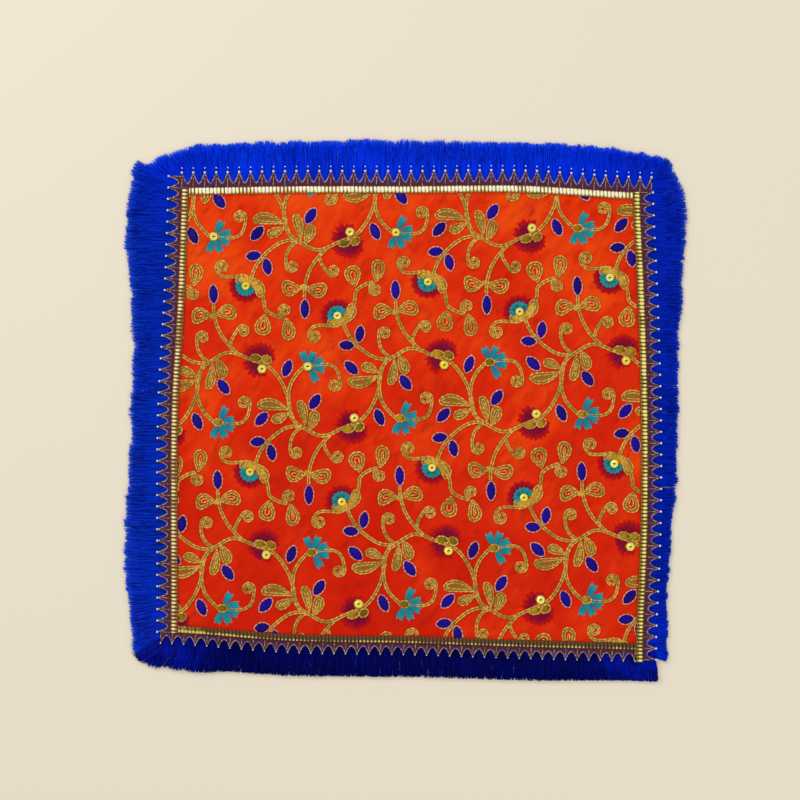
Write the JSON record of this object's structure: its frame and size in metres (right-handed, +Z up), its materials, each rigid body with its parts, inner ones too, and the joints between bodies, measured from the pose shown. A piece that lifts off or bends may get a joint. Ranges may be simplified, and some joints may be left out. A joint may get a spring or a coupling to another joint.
{
  "type": "embroidered puja chunri",
  "caption": "Square altar cloth laid flat: embroidered velvet panel edged with flat braid, pointed lace and a deep silky fringe.",
  "frame": {"origin": "on the surface the cloth lies on, under the middle of the cloth's bounding box", "axes": "+X runs to the right along the near edge, +Y away from the near edge to the far one, +Z up through the cloth"},
  "size_m": [0.3456, 0.336, 0.003],
  "materials": {
    "red_velvet": "satin-backed velvet, worked with gold cord, indigo, teal and maroon thread",
    "gold_braid": "ribbed metallic ribbon",
    "maroon_lace": "matt ground with gold arches",
    "blue_fringe": "silky cut strands"
  },
  "bodies": {
    "root": {"cloth": "red_velvet", "braid_far": "gold_braid", "braid_right": "gold_braid", "braid_near": "gold_braid", "braid_left": "gold_braid", "lace_far": "maroon_lace", "lace_right": "maroon_lace", "lace_near": "maroon_lace", "lace_left": "maroon_lace", "fringe_far": "blue_fringe", "fringe_right": "blue_fringe", "fringe_near": "blue_fringe", "fringe_left": "blue_fringe"}
  },
  "joints": []
}
